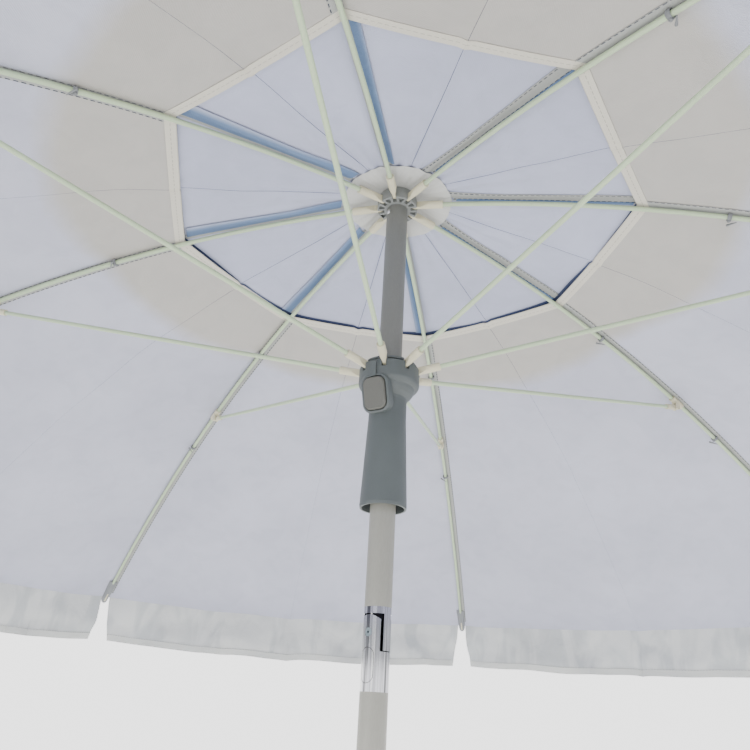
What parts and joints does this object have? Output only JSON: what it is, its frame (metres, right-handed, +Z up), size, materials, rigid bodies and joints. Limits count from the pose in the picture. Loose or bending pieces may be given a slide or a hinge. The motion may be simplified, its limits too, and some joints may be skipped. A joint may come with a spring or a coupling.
{
  "type": "beach umbrella",
  "caption": "Beach umbrella with a vented folding canopy on curved ribs, push-button runner, tilting and telescoping pole and a pointed sand tip.",
  "frame": {"origin": "point of the sand tip on the pole's axis, with the canopy open and the pole upright at its lowest setting", "axes": "+Z up along the pole; rib 1 points along -Y and the ribs follow anticlockwise every 45 degrees seen from above"},
  "size_m": [2.3082, 2.3082, 2.2052],
  "materials": {
    "dark_tube": "dark grey powder coat",
    "light_tube": "light grey powder coat",
    "lower_tube": "light grey powder coat with scuffs",
    "bright_metal": "polished plate",
    "steel_wire": "zinc-plated wire",
    "slate_plastic": "moulded slate grey nylon",
    "cap_plastic": "moulded dark grey nylon",
    "button_plastic": "fine-grained taupe plastic",
    "cream_plastic": "moulded cream nylon",
    "hub_plastic": "moulded grey nylon",
    "fibreglass": "pultruded pale green fibreglass rod",
    "sand_plastic": "moulded dark plastic",
    "canopy_cloth": "coated polyester weave, blue outside and silver-lavender inside"
  },
  "bodies": {
    "lower_pole": {"lower_pole": "lower_tube", "clamp_collar": "cap_plastic", "sand_tip": "sand_plastic"},
    "hand_screw": {"clamp_knob": "cap_plastic"},
    "extension": {"extension_tube": "light_tube", "tilt_lower_sleeve": "bright_metal", "tilt_rivet": "bright_metal", "tilt_spring": "steel_wire"},
    "tilt_push_plate": {"tilt_button": "bright_metal"},
    "mast": {"mast_tube": "light_tube", "mast_top_tube": "dark_tube", "tilt_upper_knuckle": "bright_metal", "hub": "hub_plastic", "hub_wire_and_rivet": "steel_wire", "finial": "cap_plastic"},
    "runner": {"runner": "slate_plastic", "runner_top_ring": "slate_plastic", "runner_pivot_wire": "steel_wire", "runner_spring": "steel_wire"},
    "runner_push_plate": {"runner_button": "button_plastic"},
    "rib_1": {"rib_1": "fibreglass", "rib_fittings_1": "cream_plastic", "canopy_gore_1": "canopy_cloth"},
    "strut_1": {"strut_1": "fibreglass", "strut_ends_1": "cream_plastic"},
    "rib_2": {"rib_2": "fibreglass", "rib_fittings_2": "cream_plastic", "canopy_gore_2": "canopy_cloth"},
    "strut_2": {"strut_2": "fibreglass", "strut_ends_2": "cream_plastic"},
    "rib_3": {"rib_3": "fibreglass", "rib_fittings_3": "cream_plastic", "canopy_gore_3": "canopy_cloth"},
    "strut_3": {"strut_3": "fibreglass", "strut_ends_3": "cream_plastic"},
    "rib_4": {"rib_4": "fibreglass", "rib_fittings_4": "cream_plastic", "canopy_gore_4": "canopy_cloth"},
    "strut_4": {"strut_4": "fibreglass", "strut_ends_4": "cream_plastic"},
    "rib_5": {"rib_5": "fibreglass", "rib_fittings_5": "cream_plastic", "canopy_gore_5": "canopy_cloth"},
    "strut_5": {"strut_5": "fibreglass", "strut_ends_5": "cream_plastic"},
    "rib_6": {"rib_6": "fibreglass", "rib_fittings_6": "cream_plastic", "canopy_gore_6": "canopy_cloth"},
    "strut_6": {"strut_6": "fibreglass", "strut_ends_6": "cream_plastic"},
    "rib_7": {"rib_7": "fibreglass", "rib_fittings_7": "cream_plastic", "canopy_gore_7": "canopy_cloth"},
    "strut_7": {"strut_7": "fibreglass", "strut_ends_7": "cream_plastic"},
    "rib_8": {"rib_8": "fibreglass", "rib_fittings_8": "cream_plastic", "canopy_gore_8": "canopy_cloth"},
    "strut_8": {"strut_8": "fibreglass", "strut_ends_8": "cream_plastic"}
  },
  "joints": [
    {"name": "height_slide", "type": "slide", "parent": "lower_pole", "child": "extension", "axis": [0, 0, 1], "range_m": [0, 0.2]},
    {"name": "hand_screw_turn", "type": "hinge", "parent": "lower_pole", "child": "hand_screw", "pos_m": [0, -0.03, 0.78], "axis": [0, -1, 0], "continuous": true},
    {"name": "tilt_button_press", "type": "slide", "parent": "extension", "child": "tilt_push_plate", "axis": [0.4695, 0.8829, 0], "range_m": [0, 0.003], "stiffness_N_per_m": 400, "springref_m": -0.002, "deforming": ["tilt_spring"]},
    {"name": "tilt", "type": "hinge", "parent": "extension", "child": "mast", "pos_m": [0, 0, 1.6075], "axis": [-0.4695, -0.8829, 0], "range_deg": [0, 30]},
    {"name": "rib_1_fold", "type": "hinge", "parent": "mast", "child": "rib_1", "pos_m": [0, -0.0235, 2.15], "axis": [1, 0, 0], "range_deg": [0, 68.5], "deforming": ["canopy_gore_1"]},
    {"name": "rib_2_fold", "type": "hinge", "parent": "mast", "child": "rib_2", "pos_m": [0.01662, -0.01662, 2.15], "axis": [0.7071, 0.7071, 0], "range_deg": [0, 68.5], "deforming": ["canopy_gore_2"]},
    {"name": "rib_3_fold", "type": "hinge", "parent": "mast", "child": "rib_3", "pos_m": [0.0235, 0, 2.15], "axis": [0, 1, 0], "range_deg": [0, 68.5], "deforming": ["canopy_gore_3"]},
    {"name": "rib_4_fold", "type": "hinge", "parent": "mast", "child": "rib_4", "pos_m": [0.01662, 0.01662, 2.15], "axis": [-0.7071, 0.7071, 0], "range_deg": [0, 68.5], "deforming": ["canopy_gore_4"]},
    {"name": "rib_5_fold", "type": "hinge", "parent": "mast", "child": "rib_5", "pos_m": [0, 0.0235, 2.15], "axis": [-1, 0, 0], "range_deg": [0, 68.5], "deforming": ["canopy_gore_5"]},
    {"name": "rib_6_fold", "type": "hinge", "parent": "mast", "child": "rib_6", "pos_m": [-0.01662, 0.01662, 2.15], "axis": [-0.7071, -0.7071, 0], "range_deg": [0, 68.5], "deforming": ["canopy_gore_6"]},
    {"name": "rib_7_fold", "type": "hinge", "parent": "mast", "child": "rib_7", "pos_m": [-0.0235, 0, 2.15], "axis": [0, -1, 0], "range_deg": [0, 68.5], "deforming": ["canopy_gore_7"]},
    {"name": "rib_8_fold", "type": "hinge", "parent": "mast", "child": "rib_8", "pos_m": [-0.01662, -0.01662, 2.15], "axis": [0.7071, -0.7071, 0], "range_deg": [0, 68.5], "deforming": ["canopy_gore_8"]},
    {"name": "strut_1_fold", "type": "hinge", "parent": "rib_1", "child": "strut_1", "pos_m": [0, -0.58622, 2.0236], "axis": [-1, 0, 0], "range_deg": [0, 137]},
    {"name": "strut_2_fold", "type": "hinge", "parent": "rib_2", "child": "strut_2", "pos_m": [0.41452, -0.41452, 2.0236], "axis": [-0.7071, -0.7071, 0], "range_deg": [0, 137]},
    {"name": "strut_3_fold", "type": "hinge", "parent": "rib_3", "child": "strut_3", "pos_m": [0.58622, 0, 2.0236], "axis": [0, -1, 0], "range_deg": [0, 137]},
    {"name": "strut_4_fold", "type": "hinge", "parent": "rib_4", "child": "strut_4", "pos_m": [0.41452, 0.41452, 2.0236], "axis": [0.7071, -0.7071, 0], "range_deg": [0, 137]},
    {"name": "strut_5_fold", "type": "hinge", "parent": "rib_5", "child": "strut_5", "pos_m": [0, 0.58622, 2.0236], "axis": [1, 0, 0], "range_deg": [0, 137]},
    {"name": "strut_6_fold", "type": "hinge", "parent": "rib_6", "child": "strut_6", "pos_m": [-0.41452, 0.41452, 2.0236], "axis": [0.7071, 0.7071, 0], "range_deg": [0, 137]},
    {"name": "strut_7_fold", "type": "hinge", "parent": "rib_7", "child": "strut_7", "pos_m": [-0.58622, 0, 2.0236], "axis": [0, 1, 0], "range_deg": [0, 137]},
    {"name": "strut_8_fold", "type": "hinge", "parent": "rib_8", "child": "strut_8", "pos_m": [-0.41452, -0.41452, 2.0236], "axis": [-0.7071, 0.7071, 0], "range_deg": [0, 137]},
    {"name": "runner_travel", "type": "hinge", "parent": "strut_1", "child": "runner", "pos_m": [0, -0.0235, 1.8972], "axis": [1, 0, 0], "range_deg": [0, 68.5]},
    {"name": "runner_button_press", "type": "slide", "parent": "runner", "child": "runner_push_plate", "axis": [0.313, 0.9089, 0.2756], "range_m": [0, 0.0025], "stiffness_N_per_m": 400, "springref_m": -0.002, "deforming": ["runner_spring"]}
  ],
  "couplings": [
    {"joint": "rib_2_fold", "follows": "rib_1_fold", "ratio": 1},
    {"joint": "rib_3_fold", "follows": "rib_1_fold", "ratio": 1},
    {"joint": "rib_4_fold", "follows": "rib_1_fold", "ratio": 1},
    {"joint": "rib_5_fold", "follows": "rib_1_fold", "ratio": 1},
    {"joint": "rib_6_fold", "follows": "rib_1_fold", "ratio": 1},
    {"joint": "rib_7_fold", "follows": "rib_1_fold", "ratio": 1},
    {"joint": "rib_8_fold", "follows": "rib_1_fold", "ratio": 1},
    {"joint": "strut_1_fold", "follows": "rib_1_fold", "ratio": 2},
    {"joint": "strut_2_fold", "follows": "rib_1_fold", "ratio": 2},
    {"joint": "strut_3_fold", "follows": "rib_1_fold", "ratio": 2},
    {"joint": "strut_4_fold", "follows": "rib_1_fold", "ratio": 2},
    {"joint": "strut_5_fold", "follows": "rib_1_fold", "ratio": 2},
    {"joint": "strut_6_fold", "follows": "rib_1_fold", "ratio": 2},
    {"joint": "strut_7_fold", "follows": "rib_1_fold", "ratio": 2},
    {"joint": "strut_8_fold", "follows": "rib_1_fold", "ratio": 2},
    {"joint": "runner_travel", "follows": "rib_1_fold", "ratio": 1}
  ]
}
